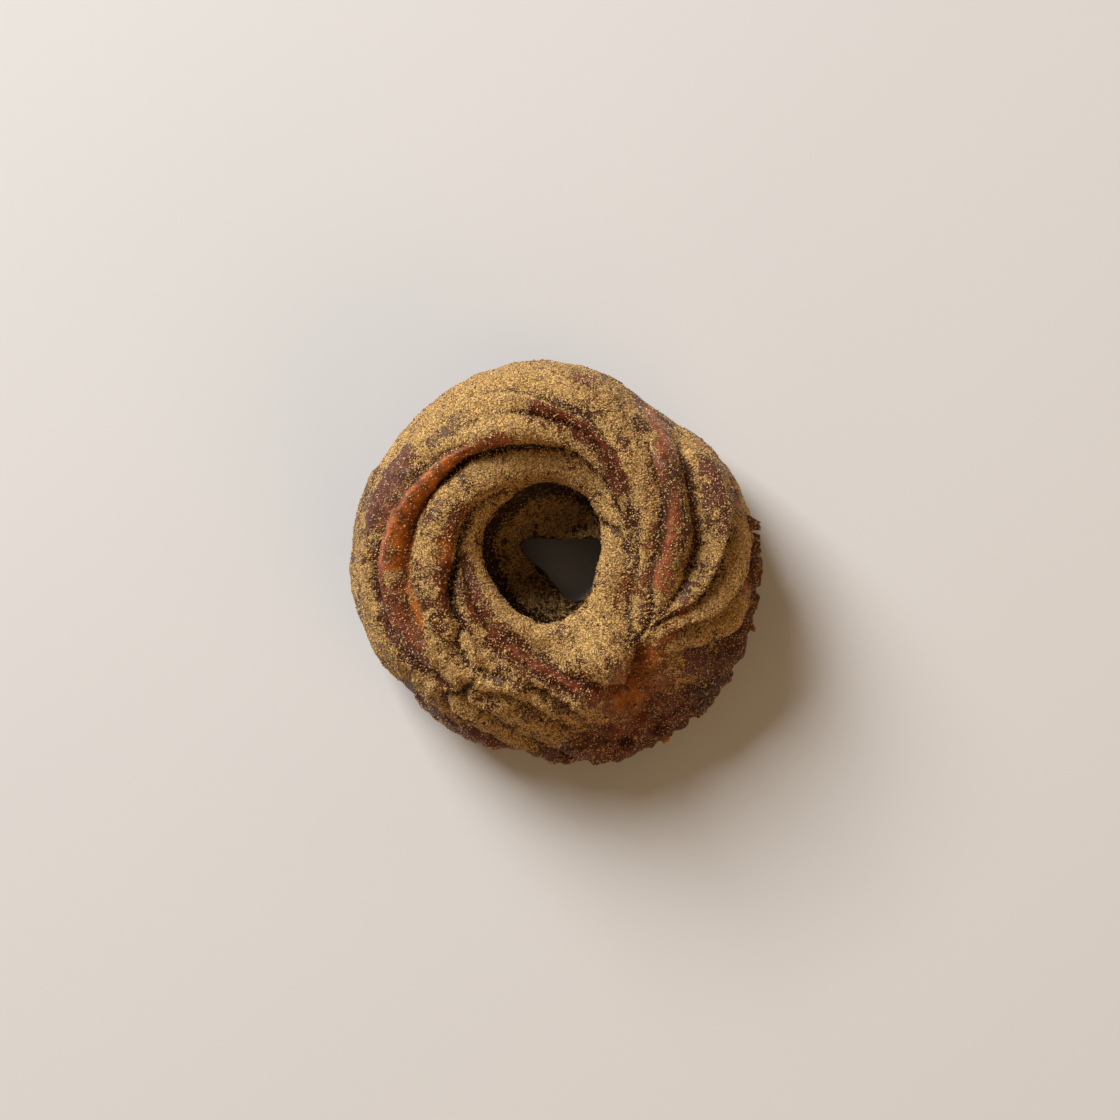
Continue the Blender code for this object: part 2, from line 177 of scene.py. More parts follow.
RIM_RADIUS = {
    0: 44.2, 10: 43.3, 20: 42.8, 32: 41.3, 45: 38.6, 56: 37.4, 70: 38.9, 85: 39.9, 100: 40.1,
    120: 39.3, 140: 38.9, 160: 39.8, 180: 40.5, 200: 41.0, 217: 40.7, 224: 40.1, 232: 41.0,
    245: 41.7, 265: 42.2, 275: 43.6, 285: 45.0, 300: 45.6, 320: 46.4, 331: 45.4, 340: 45.2,
}
SHOULDER_INSET = {0: 3.0, 60: 2.4, 150: 2.8, 230: 3.6, 270: 6.0, 305: 9.5, 325: 6.5, 343: 3.4}
SHOULDER_HEIGHT = {0: 24.0, 90: 25.0, 200: 24.5, 270: 21.5, 305: 18.5, 340: 22.0}
CROWN_RISE = {0: 0.2, 60: 0.8, 150: 0.0, 240: -1.6, 300: -2.8, 335: -1.4}
LIP_RADIUS = {
    0: 12.0, 30: 12.8, 60: 14.5, 90: 14.9, 120: 13.7, 150: 13.4, 180: 13.3, 215: 12.7,
    245: 13.9, 275: 15.0, 300: 13.9, 325: 12.3, 340: 11.4,
}
LOW_CENTRE = (3.7, -1.7)
LOW_RADIUS = {
    0: 8.0, 28: 8.6, 55: 5.5, 90: 4.5, 128: 5.8, 156: 8.8, 186: 5.8, 225: 4.5, 258: 5.5,
    286: 8.6, 310: 8.2, 335: 8.0,
}
SHELF_HEIGHT = {20: 13.0, 90: 13.6, 150: 12.8, 200: 10.6, 240: 8.8, 300: 9.0, 345: 11.5}
SHELF_SLOPE = {30: 0.8, 90: 0.5, 150: 1.0, 190: 3.0, 230: 4.0, 270: 3.4, 330: 1.6}


def hermite(x, xs, ys):
    """A smooth curve through the points (xs, ys), read at x. A row of ys may hold several values."""
    slopes = np.gradient(ys, xs, axis=0)
    i = np.clip(np.searchsorted(xs, x, side="right") - 1, 0, len(xs) - 2)
    step = xs[i + 1] - xs[i]
    t = (x - xs[i]) / step
    if ys.ndim > 1:
        t, step = t[..., None], step[..., None]
    return (
        (2 * t**3 - 3 * t**2 + 1) * ys[i]
        + (t**3 - 2 * t**2 + t) * step * slopes[i]
        + (3 * t**2 - 2 * t**3) * ys[i + 1]
        + (t**3 - t**2) * step * slopes[i + 1]
    )


def around(angle, sizes):
    """A size that passes smoothly through {angle: size} and closes on itself after a full turn."""
    keys = sorted(sizes)
    xs = np.array([keys[-2] - 360, keys[-1] - 360, *keys, keys[0] + 360, keys[1] + 360], float)
    ys = np.array([sizes[int(k) % 360] for k in xs], float)
    return hermite(np.mod(angle, 360), xs, ys)


def smooth_step(x):
    """0 below 0, 1 above 1, and a smooth rise between."""
    x = np.clip(x, 0, 1)
    return x * x * (3 - 2 * x)


quarter_turns = np.arange(0.0, 360.0, 90.0)
print("rim at each quarter turn:", around(quarter_turns, RIM_RADIUS).round(1), "mm")

# %% [markdown]
# ## From the outline to a place on the dough
#
# Seventeen stations run round each section, from the outer foot over the crown and down the hole. A
# place is a number of stations, so 2 is the widest point of the side and 9 is the lip of the hole.
# Any point on the plain dough is then an angle and a place. The folds below are laid out that way.

# %% Stations
STATIONS = 17
RIM, LIP, UNDERCUT = 2, 9, 10
LOW_SHARE = np.array([0, 0, 0, 0, 0, 0, 0, 0, 0, 0, 0.15, 0.6, 1.0, 1.0, 1.0, 0.8, 0.0])


def outline(angle):
    """The plain dough's section at each angle: its stations as (distance, height)."""
    rim = around(angle, RIM_RADIUS)
    shoulder = rim - around(angle, SHOULDER_INSET)
    shoulder_height = around(angle, SHOULDER_HEIGHT)
    lip = around(angle, LIP_RADIUS) * CROWN_SCALE
    low = around(angle, LOW_RADIUS)
    top = HEIGHT + around(angle, CROWN_RISE)
    shelf = around(angle, SHELF_HEIGHT)
    slope = around(angle, SHELF_SLOPE)
    crown = lip + 0.54 * (shoulder - lip)
    level = np.zeros_like(rim)
    stations = [
        (rim - 7.0, level),
        (rim - 1.4, level + 4.5),
        (rim, level + RIM_HEIGHT),
        (rim * 0.42 + shoulder * 0.58, 0.45 * RIM_HEIGHT + 0.55 * shoulder_height),
        (shoulder - 0.6, shoulder_height + 1.2),
        (crown + 0.55 * (shoulder - crown), 0.3 * shoulder_height + 0.7 * top),
        (crown, top),
        (crown - 0.5 * (crown - lip), top - 2.0),
        (lip + 1.5, level + LIP_HEIGHT + 3.4),
        (lip, level + LIP_HEIGHT - 1.4),
        (lip + 2.0, 0.4 * LIP_HEIGHT + 0.6 * shelf),
        (low + 0.55 * (lip - low), shelf),
        (low + 0.4, shelf - slope),
        (low + 0.2, shelf - slope - 3.0),
        (low + 2.0, level + 2.4),
        (low + 5.0, level),
        (0.5 * (rim + low), level),
    ]
    return np.stack([np.stack(s, -1) for s in stations], 1)


def dough_point(angle, place):
    """The point on the plain dough at an angle and a place."""
    section = outline(angle)
    share = np.broadcast_to(LOW_SHARE, section.shape[:2])[..., None]
    values = np.concatenate([section, share], -1)
    i = np.floor(place).astype(int)
    t = (place - i)[:, None]
    row = np.arange(len(i))
    a, b, c, d = (values[row, (i + k) % STATIONS] for k in (-1, 0, 1, 2))
    curve = 2 * a - 5 * b + 4 * c - d + t * (3 * (b - c) + d - a)
    distance, height, low = (b + 0.5 * t * (c - a + t * curve)).T
    turn = np.radians(angle)
    x = HOLE_CENTRE[0] + low * LOW_CENTRE[0] + distance * np.cos(turn)
    y = HOLE_CENTRE[1] + low * LOW_CENTRE[1] + distance * np.sin(turn)
    return np.stack([x, y, np.maximum(height, 0)], -1)


def place_over(angles, distances):
    """The places on top of the dough that lie at distances from the hole's centre."""
    places = np.linspace(RIM, LIP, 85)
    found = []
    for angle, distance in zip(angles, distances):
        points = dough_point(np.full(len(places), angle), places)
        reach = np.hypot(points[:, 0] - HOLE_CENTRE[0], points[:, 1] - HOLE_CENTRE[1])
        found.append(np.interp(-distance, -reach, places))
    return np.array(found)


print("top of the crown at +X:", dough_point(np.array([0.0]), np.array([6.0])).round(1), "mm")

# %% [markdown]
# ## The folds
#
# The star nozzle's ridges are the space between folds, so the folds are what is drawn. Each one is
# a line of (angle, distance from the hole's centre, depth), read off the doughnut. It presses the
# dough in along its line, and the dough beside it comes back to full height within its reach. On
# one side that can be a full round lobe, and on the other a long flat slope, which is how piped
# ridges lean over each other. Where two folds are close, a narrow ridge stands between them.

# %% Fold lines
FULL, SOFT, FLAT = 0.68, 0.9, 1.2
# (reach and lobe towards the hole, the same outwards, end that runs on down the side, points)
FOLDS = {
    "long fold inside the outer ridge": ((8.0, FLAT), (4.6, FULL), "", [
        (224, 30.2, 0.3), (206, 31.8, 2.4), (190, 31.0, 4.0), (170, 29.5, 4.5), (150, 27.0, 4.4),
        (130, 24.5, 4.0), (110, 21.8, 3.6), (90, 20.5, 3.2), (70, 19.4, 2.8), (50, 17.5, 2.4),
        (30, 16.5, 2.2), (10, 16.7, 2.2), (-12, 16.4, 2.0), (-30, 16.8, 1.8), (-42, 19.0, 0.8)]),
    "fold outside the outer ridge": ((4.5, FULL), (5.0, FULL), "", [
        (243, 33.4, 0.2), (225, 35.8, 2.0), (205, 37.2, 2.6), (190, 37.0, 2.4), (180, 36.2, 2.0),
        (165, 33.8, 1.6), (150, 32.0, 2.0), (138, 30.4, 1.8), (128, 28.2, 1.2), (118, 26.6, 0.1)]),
    "faint fold at the back left": ((5.0, FULL), (7.0, FULL), "", [
        (162, 33.2, 0.2), (145, 32.2, 1.0), (130, 31.8, 1.1), (115, 31.3, 1.2), (100, 30.4, 1.4)]),
    "deep fold at the back": ((5.0, SOFT), (5.4, FULL), "", [
        (112, 31.2, 0.1), (101, 30.4, 2.4), (92, 29.2, 3.6), (83, 27.4, 3.9), (75, 25.8, 3.8),
        (65, 23.6, 3.4), (55, 21.5, 2.8), (45, 20.0, 2.5), (30, 19.1, 2.3), (10, 18.3, 2.3),
        (-10, 18.2, 2.3), (-28, 19.0, 2.4), (-38, 21.2, 2.6), (-46, 24.6, 2.6)]),
    "thin fold along the back": ((3.6, FULL), (5.0, FULL), "first", [
        (137, 38.6, 0.3), (125, 37.6, 1.3), (110, 36.6, 1.5), (100, 35.0, 1.6), (90, 33.1, 1.8),
        (80, 31.0, 2.1), (70, 29.3, 2.2), (62, 26.8, 1.8), (54, 24.0, 1.0), (46, 21.5, 0.1)]),
    "step up to the narrow ridge": ((6.0, FULL), (2.2, FULL), "", [
        (62, 34.4, 0.1), (47, 31.6, 1.0), (40, 29.8, 1.3), (30, 27.9, 1.5), (20, 26.0, 1.6),
        (10, 24.1, 1.6), (0, 22.9, 1.7), (-12, 22.2, 2.0), (-22, 23.2, 2.6), (-31, 25.2, 2.8),
        (-40, 26.0, 2.4), (-47, 25.0, 2.0)]),
    "wide fold outside the narrow ridge": ((8.0, FLAT), (6.0, FLAT), "first", [
        (45, 39.8, 0.2), (39, 38.0, 2.5), (30, 36.6, 3.8), (20, 35.3, 4.2), (10, 34.4, 4.4),
        (0, 33.0, 4.2), (-8, 31.6, 3.8), (-15, 30.4, 3.3), (-21, 29.0, 2.6), (-28, 27.4, 1.4)]),
    "first fold of the right side": ((3.6, FULL), (6.6, SOFT), "first", [
        (20, 42.9, 1.6), (12, 41.8, 2.8), (5, 40.6, 3.4), (0, 39.4, 3.4), (-5, 38.3, 3.2),
        (-10, 37.2, 3.0), (-15, 36.0, 2.9), (-20, 34.4, 2.7), (-25, 31.9, 2.4), (-30, 29.3, 2.0),
        (-36, 27.2, 1.4)]),
    "second fold of the right side": ((3.2, FULL), (5.6, FLAT), "first", [
        (-2, 44.4, 2.4), (-10, 43.5, 3.6), (-15, 42.2, 4.2), (-20, 40.5, 4.2), (-25, 37.8, 3.8),
        (-29, 35.0, 2.8), (-34, 32.0, 1.2)]),
    "third fold of the right side": ((3.4, FULL), (4.8, SOFT), "first", [
        (-18, 45.5, 2.2), (-25, 43.9, 3.0), (-30, 41.5, 3.0), (-36, 37.7, 2.1), (-44, 33.5, 0.3)]),
    "fold under the inner ridge": ((3.5, FULL), (3.6, FULL), "", [
        (224, 22.3, 2.4), (210, 21.4, 3.1), (200, 19.9, 3.2), (190, 17.9, 3.1), (180, 16.8, 2.8),
        (165, 16.6, 2.2), (150, 16.4, 1.8), (135, 15.6, 1.2), (118, 15.2, 0.2)]),
    "fold outside the hole's rim, round the loose end": ((5.6, SOFT), (5.0, FULL), "", [
        (170, 15.0, 0.6), (185, 15.8, 1.8), (200, 16.4, 2.2), (220, 17.2, 2.4), (235, 18.0, 2.4),
        (250, 18.8, 2.4), (262, 19.8, 2.6), (272, 21.6, 2.8), (280, 25.0, 3.0), (288, 29.4, 3.4),
        (294, 33.2, 4.0), (300.5, 35.4, 4.3), (307, 34.4, 4.4), (311.5, 31.4, 4.3),
        (314.5, 28.2, 3.8), (317.5, 24.6, 2.6), (320, 21.4, 0.8)]),
    "first fold at the front": ((3.5, SOFT), (4.0, SOFT), "", [
        (222, 22.4, 1.6), (232, 22.3, 1.8), (245, 22.3, 2.0), (258, 23.5, 2.2), (268, 25.6, 2.2),
        (278, 29.4, 2.0), (287, 34.0, 1.0)]),
    "second fold at the front": ((4.0, SOFT), (4.0, SOFT), "last", [
        (222, 23.0, 1.8), (227, 26.4, 2.0), (234, 28.6, 2.2), (246, 28.0, 2.0), (257, 27.3, 1.8),
        (264, 28.6, 2.0), (270, 30.5, 2.2), (275, 32.9, 2.2), (280, 35.4, 1.8), (287, 39.4, 1.0)]),
    "third fold at the front": ((4.0, SOFT), (4.0, SOFT), "last", [
        (238, 33.3, 0.3), (246, 32.8, 1.6), (256, 31.6, 2.0), (262, 32.9, 2.2), (268, 35.0, 2.2),
        (274, 37.2, 2.0), (281, 40.4, 1.4)]),
    "fourth fold at the front": ((3.5, SOFT), (3.5, SOFT), "last", [
        (239, 33.4, 0.4), (241, 36.2, 2.6), (247, 36.8, 2.4), (254, 37.8, 2.2), (262, 39.8, 1.8)]),
    "notch at the front left": ((3.0, FULL), (3.0, FULL), "last", [
        (242, 29.0, 0.2), (240.5, 32.6, 1.6), (239.5, 35.6, 2.4), (237.5, 39.0, 1.8)]),
    "short fold right of the hole": ((2.4, FULL), (3.6, FULL), "", [
        (32, 12.8, 0.4), (20, 14.0, 2.0), (12, 14.9, 2.2), (5, 15.6, 2.0), (-3, 16.2, 1.4)]),
}
SIDE_FOLDS = [96, 128, 158, 186, 214]
SIDE_FOLD_DEPTH, SIDE_FOLD_REACH = 0.2, 4.5
SIDE_TWIST, SIDE_END = 15.0, 0.4
LINE_STEPS = 16


def surface_line(knots, down_from=""):
    """Places, points and values of a smooth line on the dough through (angle, distance, value)."""
    angles, distances, values = np.array(knots, float).T
    knots = np.stack([angles, place_over(angles, distances * CROWN_SCALE), values], -1)
    if down_from:
        end = knots[0 if down_from == "first" else -1]
        drop = end[1] - SIDE_END
        foot = [(end[0] + SIDE_TWIST * drop, SIDE_END, end[2])]
        knots = np.concatenate([foot, knots] if down_from == "first" else [knots, foot])
    count = np.arange(len(knots), dtype=float)
    fine = np.linspace(0, count[-1], LINE_STEPS * (len(knots) - 1) + 1)
    angle, place, value = hermite(fine, count, knots).T
    return place, dough_point(angle, place), np.maximum(value, 0)


def side_fold(angle):
    """A shallow fold that starts on the shoulder and runs down the side with the twist."""
    rim = around(np.array([float(angle)]), RIM_RADIUS)[0]
    knots = [(angle, rim - 0.4), (angle - 12, rim - 1.6), (angle - 24, rim - 3.2)]
    depths = (SIDE_FOLD_DEPTH, 0.6 * SIDE_FOLD_DEPTH, 0.0)
    side = (SIDE_FOLD_REACH, FULL)
    return side, side, "first", [(*k, d) for k, d in zip(knots, depths)]


print(len(FOLDS), "folds on top and", len(SIDE_FOLDS), "on the side")

# %% [markdown]
# ## How far each point sinks
#
# For every point of the skin the nearest spot on each fold's line is found. The fold's depth there,
# and how near the point is, give how far it sinks. The deepest fold wins, softly, so that folds can
# cross without a seam.

# %% Pressing the folds in
SIDE_BLEND = 0.3
VALLEY_RADIUS = 0.35
CREASE_WIDTH, CREASE_DEPTH = 0.75, 2.5
SOFT_CREASE = 0.8
NORM = 4
FOLD_SCALE = 1.2
PART_SIZE = 4000


def nearest_on(line, points):
    """Distance from each point to the line, and where on it that is, counted in its points."""
    parts = np.array_split(points, max(1, len(points) // PART_SIZE))
    near = np.concatenate([((part[:, None] - line) ** 2).sum(-1).argmin(1) for part in parts])
    best_gap = np.full(len(points), np.inf)
    best_at = near.astype(float)
    for start in (np.maximum(near - 1, 0), np.minimum(near, len(line) - 2)):
        along = line[start + 1] - line[start]
        t = ((points - line[start]) * along).sum(1) / (along**2).sum(1)
        t = np.clip(t, 0, 1)
        gap = np.linalg.norm(points - line[start] - t[:, None] * along, axis=1)
        closer = gap < best_gap
        best_gap = np.where(closer, gap, best_gap)
        best_at = np.where(closer, start + t, best_at)
    return best_gap, best_at


def fold_drop(points, places):
    """How far the folds press each point in, and how close it lies to the bottom of one, 0 to 1."""
    total = np.zeros(len(points))
    bottom = np.zeros(len(points))
    folds = list(FOLDS.values()) + [side_fold(angle) for angle in SIDE_FOLDS]
    for inner, outer, down_from, knots in folds:
        line_place, line, depth = surface_line(knots, down_from)
        gap, at = nearest_on(line, points)
        count = np.arange(len(line))
        depth = np.interp(at, count, depth)
        narrow = 1.0 if inner[1] == outer[1] == FULL else SOFT_CREASE
        crease = narrow * np.exp(-((gap / CREASE_WIDTH) ** 2)) * np.clip(depth / CREASE_DEPTH, 0, 1)
        bottom = np.maximum(bottom, crease)
        gap = np.sqrt(gap**2 + VALLEY_RADIUS**2) - VALLEY_RADIUS
        inward = smooth_step((places - np.interp(at, count, line_place)) / SIDE_BLEND + 0.5)
        reach = outer[0] + (inner[0] - outer[0]) * inward
        fullness = outer[1] + (inner[1] - outer[1]) * inward
        lobe = (1 - (1 - np.clip(gap / reach, 0, 1)) ** 2) ** fullness
        total += (depth * (1 - lobe)) ** NORM
    return FOLD_SCALE * total ** (1 / NORM), bottom


# %% [markdown]
# ## Swellings, torn crust and small unevenness
#
# Steam lifts the dough here and lets it sink there. Low on the right the crust stuck and tore, so
# the edge is craggy. Fractal noise gives the crags and the knobs, each only where its mask lets it,
# and fine lumps and low dunes all over.

# %% Swellings and roughness
# (angle, distance, size, height)
SWELLINGS = [
    (-60, 26.0, 4.4, 3.2), (-47, 33.0, 5.0, -3.0), (-62, 38.5, 4.6, -1.2), (-104, 29.6, 3.6, 1.2),
    (-141, 26.0, 4.4, 0.9), (100, 26.0, 4.0, 0.6), (72, 34.5, 5.0, 0.8), (197, 26.0, 4.0, 0.8),
    (-30, 19.5, 2.4, -1.4), (12, 35.0, 3.5, 0.8), (-72, 33.0, 3.0, 0.8), (-38, 44.0, 3.0, 1.0),
]
CRAG_FROM, CRAG_TO, CRAG_EDGE = -88.0, 8.0, 14
CRAG_DISTANCE, CRAG_TOP = 34, 24
CRAG_DEPTH, CRAG_SIZE = 1.1, 3.4
UNEVEN_DEPTH, UNEVEN_SIZE = 0.4, 9.0
LUMP_DEPTH, LUMP_SIZE = 0.16, 1.9
DUNE_DEPTH, DUNE_SIZE = 0.3, 4.5
KNOB_FROM, KNOB_TO, KNOB_EDGE = -150.0, -40.0, 30
KNOB_DISTANCE = 20
KNOB_DEPTH, KNOB_SIZE = 0.9, 3.0


def spot_on_top(angle, distance):
    """The point on top of the plain dough at an angle and a distance from the hole's centre."""
    angle = np.array([float(angle)])
    return dough_point(angle, place_over(angle, [distance * CROWN_SCALE]))[0]


def nearness(points, angle, distance, size):
    """1 at a spot on top of the dough, and falling to 0 round it."""
    gap = ((points - spot_on_top(angle, distance)) ** 2).sum(1)
    return np.exp(-gap / (2 * size**2))


def swell(points):
    """Height that the swellings and hollows add to each point."""
    added = np.zeros(len(points))
    for angle, distance, size, height in SWELLINGS:
        added += height * nearness(points, angle, distance, size)
    return added


def within(angle, start, end, edge):
    """1 between two angles, fading to 0 over the edge, in degrees."""
    middle, half = (start + end) / 2, (end - start) / 2
    turn = np.abs(np.mod(angle - middle + 180, 360) - 180)
    return smooth_step((half - turn) / edge + 0.5)


def fractal(points, size, octaves):
    """Fractal noise at each point, about -1 to 1, with its largest forms of the given size."""
    return np.array([noise.fractal(Vector(p) / size, 1.0, 2.0, octaves) for p in points])


def distance_out(points):
    return np.hypot(points[:, 0] - HOLE_CENTRE[0], points[:, 1] - HOLE_CENTRE[1])


def torn(points, angle):
    """Where the crust is torn, 0 to 1: low on the right."""
    mask = within(angle, CRAG_FROM, CRAG_TO, CRAG_EDGE)
    mask *= smooth_step((distance_out(points) - CRAG_DISTANCE) / 7)
    return mask * smooth_step((CRAG_TOP - points[:, 2]) / 10)


def crags(points, angle):
    """Height of the torn crust's crags, which stop short of the floor."""
    mask = torn(points, angle) * smooth_step((points[:, 2] - 0.6) / 3)
    return CRAG_DEPTH * mask * (0.3 + fractal(points, CRAG_SIZE, 4))


def knobs(points, angle):
    """The knobbly dough at the front, where the piping ended."""
    mask = within(angle, KNOB_FROM, KNOB_TO, KNOB_EDGE)
    mask *= smooth_step((distance_out(points) - KNOB_DISTANCE) / 6)
    return KNOB_DEPTH * mask * fractal(points, KNOB_SIZE, 3)


# %% [markdown]
# ## The skin
#
# A circle spun round an axis is a torus, the plainest ring there is. Each point of it has an angle
# round the ring and a turn round the section. The section is twisted once as it goes round, so that
# the rows of faces run along the ridges instead of across them, and more of the rows lie on top.

# %% A fine twisted ring
ROUND_STEPS, SECTION_STEPS = 476, 208
RING_RADIUS, RING_TUBE = 27.0, 13.0
TOP_SHARE = 0.68

form = bmesh.new()
stand_up = Matrix.Translation((RING_RADIUS, 0, 0)) @ Matrix.Rotation(math.radians(90), 4, "X")
circle = bmesh.ops.create_circle(form, segments=SECTION_STEPS, radius=RING_TUBE, matrix=stand_up)
bmesh.ops.spin(
    form,
    geom=circle["verts"] + form.edges[:],
    cent=(0, 0, 0),
    axis=(0, 0, 1),
    angle=math.radians(360),
    steps=ROUND_STEPS,
    use_merge=True,
)
bmesh.ops.recalc_face_normals(form, faces=form.faces)
print(len(form.verts), "points round the ring")


def coordinates(form):
    return np.array([v.co for v in form.verts])


def set_coordinates(form, points):
    for vert, point in zip(form.verts, points):
        vert.co = point
    form.normal_update()


def normals(form):
    return np.array([v.normal for v in form.verts])


def section_place(points):
    """Angle and place of each point of the twisted torus."""
    angle = np.degrees(np.arctan2(points[:, 1], points[:, 0]))
    out = np.hypot(points[:, 0], points[:, 1]) - RING_RADIUS
    turn = np.arctan2(points[:, 2], out) / (2 * math.pi) - angle / 360
    place = np.interp(np.mod(turn, 1), [0, TOP_SHARE, 1], [1, UNDERCUT, STATIONS + 1])
    return angle, np.mod(place, STATIONS)


angle, place = section_place(coordinates(form))
plain = dough_point(angle, place)
set_coordinates(form, plain)

# %% Folds, swellings and crags
GRIP_HEIGHT = 3.0
SMOOTHING = 0.5


def lift(form, points, rise):
    """Moves points along the form's normals, but none off or under the floor."""
    points = points + normals(form) * rise[:, None]
    points[:, 2] = np.where(plain[:, 2] <= 0, 0, np.maximum(points[:, 2], 0))
    set_coordinates(form, points)


sunk, fold_bottom = fold_drop(plain, place)
grip = smooth_step(plain[:, 2] / GRIP_HEIGHT)
uneven = UNEVEN_DEPTH * fractal(plain, UNEVEN_SIZE, 1)
rise = swell(plain) + crags(plain, angle) + knobs(plain, angle) + uneven - sunk
lift(form, plain, rise * grip)
bmesh.ops.smooth_vert(
    form, verts=form.verts, factor=SMOOTHING, use_axis_x=True, use_axis_y=True, use_axis_z=True
)
print("folds sink up to", round(float(sunk.max()), 1), "mm")

# %% Fine lumps
lumps = LUMP_DEPTH * fractal(plain, LUMP_SIZE, 3) + DUNE_DEPTH * fractal(plain, DUNE_SIZE, 2)
lift(form, coordinates(form), lumps * grip)
facing = normals(form)

# %% [markdown]
# ## Where powder lies, how the crust is baked, and where shade is painted
#
# Powder falls from above, so it lies on what faces up and misses walls, undersides and the bottoms
# of folds, and handling rubs it off the crests. Bare strokes say where, each with the crust's tone
# there: amber where the dough is thin and glassy, with a painted glow where light shines through it,
# red and rose on rubbed crests, the rose partly a painted sheen, and plum where it fried longest.
# Dark is painted shade in the bottoms of the folds, in the hole and under its rim, and a few bare
# strokes are painted shade on slopes turned from the light. Both results are stored on the points
# for the material.

# %% Bare strokes
TONES = {
    "brown": (0.085, 0.024, 0.008),
    "amber": (0.500, 0.130, 0.012),
    "honey": (0.420, 0.135, 0.016),
    "red": (0.175, 0.038, 0.015),
    "rose": (0.420, 0.120, 0.050),
    "plum": (0.120, 0.034, 0.024),
    "dark": (0.026, 0.009, 0.004),
}
# (tone, width, how bare, [(angle, distance), ...])
STROKES = [
    ("brown", 2.2, 0.40, [(150, 39.0), (160, 39.8), (170, 40.2), (180, 40.4)]),
    ("brown", 2.6, 0.34, [(142, 33.6), (128, 33.0), (116, 32.6)]),
    ("plum", 3.6, 0.66, [(174, 38.2), (168, 37.6), (158, 36.6), (148, 36.0), (140, 35.8)]),
    ("plum", 1.2, 0.62, [(230, 36.6), (212, 37.4), (198, 37.4), (185, 36.6), (172, 35.2)]),
    ("brown", 4.5, 0.24, [(215, 27.0), (200, 26.0), (185, 25.0), (170, 24.0)]),
    ("red", 1.5, 0.62, [(222, 32.8), (212, 33.2), (200, 33.2), (190, 33.0)]),
    # Rose on the crests is the rubbed crust's tone, and partly a painted sheen of the glaze.
    ("rose", 2.4, 0.78, [
        (190, 35.4), (180, 34.6), (167, 32.8), (155, 30.8), (145, 29.0), (130, 26.6), (118, 24.8),
        (102, 23.4)]),
    ("red", 2.0, 0.80, [
        (183, 35.2), (190, 35.8), (200, 35.9), (208, 35.4), (216, 34.8), (226, 34.6), (238, 35.0)]),
    # Painted glow: amber on the thin inner face of the outer ridge, standing for light shining
    # through it.
    ("amber", 2.1, 0.94, [
        (190, 31.4), (182, 31.0), (174, 30.8), (163, 29.8), (150, 28.0), (135, 25.8), (121, 23.8)]),
    ("amber", 1.7, 0.55, [(214, 30.6), (206, 30.6), (198, 30.4), (188, 30.8)]),
    # Painted shade: a dark line along the bottom of the long fold.
    ("dark", 1.0, 0.90, [
        (152, 26.3), (140, 25.0), (130, 23.7), (118, 22.2), (105, 20.9), (92, 20.1), (76, 19.5)]),
    ("red", 2.0, 0.68, [
        (146, 17.8), (158, 18.8), (172, 19.7), (183, 20.5), (195, 21.9), (206, 23.0), (218, 24.0)]),
    ("plum", 1.8, 0.55, [(176, 15.4), (190, 15.4), (205, 15.6), (222, 15.6)]),
    ("red", 2.6, 0.86, [
        (98, 30.4), (91, 29.4), (85, 28.4), (77, 26.9), (67, 25.0), (57, 22.9), (46, 20.9),
        (34, 19.4)]),
    # Rose on this crest is the rubbed crust's tone, and partly a painted sheen of the glaze.
    ("rose", 3.0, 0.76, [
        (58, 37.6), (50, 36.6), (44, 35.4), (34, 31.8), (21, 28.2), (6, 25.0), (-10, 23.7),
        (-22, 23.4)]),
    ("brown", 1.4, 0.66, [(42, 33.4), (32, 30.2), (20, 27.0), (5, 23.6), (-10, 22.2)]),
    # Painted shade: powder taken off the slope that faces away from the light, so it shows dark.
    ("brown", 1.8, 0.46, [(40, 34.2), (30, 32.8), (20, 31.2), (10, 30.2), (-2, 29.0), (-12, 27.8)]),
    ("brown", 1.6, 0.70, [(38, 37.4), (28, 36.2), (18, 34.8), (8, 33.8), (-2, 32.6), (-12, 31.0)]),
    ("brown", 1.6, 0.42, [(28, 38.0), (14, 36.8), (4, 35.6)]),
    ("plum", 1.8, 0.62, [(33, 39.0), (26, 39.4), (18, 39.2), (10, 38.4), (3, 37.4)]),
    ("plum", 1.4, 0.60, [(0, 32.6), (-7, 31.4), (-14, 31.0), (-20, 31.4), (-25, 31.6)]),
    # Painted shade: a dark line along the bottom of the fold under the inner ridge.
    ("dark", 1.3, 0.80, [(224, 22.3), (210, 21.4), (200, 19.9), (190, 17.9), (178, 16.8)]),
    ("red", 2.6, 0.80, [
        (206, 16.8), (216, 17.6), (230, 18.6), (246, 19.8), (260, 22.0), (273, 25.0), (287, 30.5),
        (298, 35.2)]),
    # Plum on the lower rim: bare crust, and partly painted shade on its undercut side.
    ("plum", 2.2, 0.82, [
        (221, 40.6), (228, 41.0), (240, 41.7), (253, 42.6), (265, 43.4), (280, 44.6), (293, 45.6)]),
    ("honey", 1.5, 0.60, [(40, 39.4), (30, 41.2), (20, 42.6), (8, 43.4), (-4, 44.0), (-20, 44.8)]),
    ("brown", 1.5, 0.44, [
        (236, 29.0), (246, 28.4), (256, 27.8), (266, 29.2), (276, 33.0), (286, 37.6)]),
    ("brown", 1.4, 0.36, [(244, 34.4), (254, 33.0), (264, 34.4), (274, 37.6), (284, 41.0)]),
]
